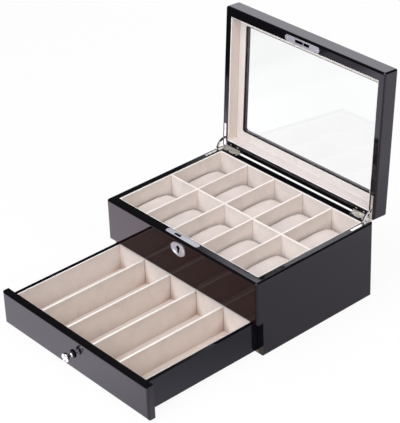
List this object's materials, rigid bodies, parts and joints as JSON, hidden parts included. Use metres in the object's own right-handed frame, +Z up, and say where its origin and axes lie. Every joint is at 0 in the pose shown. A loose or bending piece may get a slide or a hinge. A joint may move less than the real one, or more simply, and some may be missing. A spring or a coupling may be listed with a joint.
{
  "type": "jewelry box with drawer",
  "caption": "Glass-lidded lacquer box for watches and jewelry, with pillow cells under the lid, a divided drawer below, stay hinges and a lock.",
  "frame": {"origin": "centre of the carcass footprint, on the surface the felt base rests on", "axes": "+Z up, front and drawer towards -Y, +X to the right seen from the front; lid open and drawer pulled out at rest"},
  "size_m": [0.3, 0.4541, 0.3327],
  "materials": {
    "lacquer": "black piano lacquer on board, polished to a mirror",
    "drawer_lacquer": "black lacquer, polished",
    "board": "plain fibreboard",
    "felt": "black felt",
    "velvet": "cream short-pile velvet over card",
    "pillow_velvet": "cream velvet over foam",
    "glass": "clear float glass",
    "chrome": "polished chrome plate",
    "nickel": "satin nickel plate",
    "steel": "nickel-plated steel"
  },
  "bodies": {
    "carcass": {"front_panel": "lacquer", "side_wall_right": "lacquer", "side_wall_left": "lacquer", "rear_wall": "lacquer", "bottom_panel": "board", "deck_panel": "board", "base_felt": "felt", "tray_liner": "velvet", "tray_cross_divider": "velvet", "tray_divider_1": "velvet", "tray_divider_2": "velvet", "tray_divider_3": "velvet", "tray_divider_4": "velvet", "pillow_front_1": "pillow_velvet", "pillow_front_2": "pillow_velvet", "pillow_front_3": "pillow_velvet", "pillow_front_4": "pillow_velvet", "pillow_front_5": "pillow_velvet", "pillow_rear_1": "pillow_velvet", "pillow_rear_2": "pillow_velvet", "pillow_rear_3": "pillow_velvet", "pillow_rear_4": "pillow_velvet", "pillow_rear_5": "pillow_velvet", "escutcheon": "nickel", "lock_plate": "nickel", "hinge_base_leaf_right": "chrome", "hinge_base_leaf_left": "chrome", "hinge_pin_right": "chrome", "hinge_pin_left": "chrome", "lock_case": "steel"},
    "lid": {"lid_front_rail": "lacquer", "lid_side_rail_right": "lacquer", "lid_side_rail_left": "lacquer", "lid_rear_rail": "lacquer", "lid_top_panel": "lacquer", "window_glass": "glass", "window_frame": "velvet", "lid_liner": "velvet", "hinge_lid_leaf_right": "chrome", "hinge_lid_leaf_left": "chrome", "striker_plate": "nickel"},
    "drawer": {"drawer_front": "lacquer", "drawer_side_right": "drawer_lacquer", "drawer_side_left": "drawer_lacquer", "drawer_back": "drawer_lacquer", "drawer_bottom": "drawer_lacquer", "drawer_liner": "velvet", "knob": "chrome", "knob_screw": "steel", "drawer_divider_1": "velvet", "drawer_divider_2": "velvet", "drawer_divider_3": "velvet", "drawer_divider_4": "velvet"},
    "stay_right": {"stay_arm_right": "chrome"},
    "stay_left": {"stay_arm_left": "chrome"},
    "hook": {"lock_hook": "steel"}
  },
  "joints": [
    {"name": "lid_hinge", "type": "hinge", "parent": "carcass", "child": "lid", "pos_m": [0, 0.1082, 0.1182], "axis": [1, 0, 0], "range_deg": [0, 94]},
    {"name": "stay_right_swing", "type": "hinge", "parent": "carcass", "child": "stay_right", "pos_m": [0, 0.1082, 0.1182], "axis": [1, 0, 0], "range_deg": [0, 47]},
    {"name": "stay_left_swing", "type": "hinge", "parent": "carcass", "child": "stay_left", "pos_m": [0, 0.1082, 0.1182], "axis": [1, 0, 0], "range_deg": [0, 47]},
    {"name": "drawer_slide", "type": "slide", "parent": "carcass", "child": "drawer", "axis": [0, 1, 0], "range_m": [0, 0.185]},
    {"name": "lock_turn", "type": "hinge", "parent": "carcass", "child": "hook", "pos_m": [0, -0.099, 0.1058], "axis": [0, 1, 0], "range_deg": [0, 64]}
  ],
  "couplings": [
    {"joint": "stay_right_swing", "follows": "lid_hinge", "ratio": 0.5},
    {"joint": "stay_left_swing", "follows": "lid_hinge", "ratio": 0.5}
  ]
}
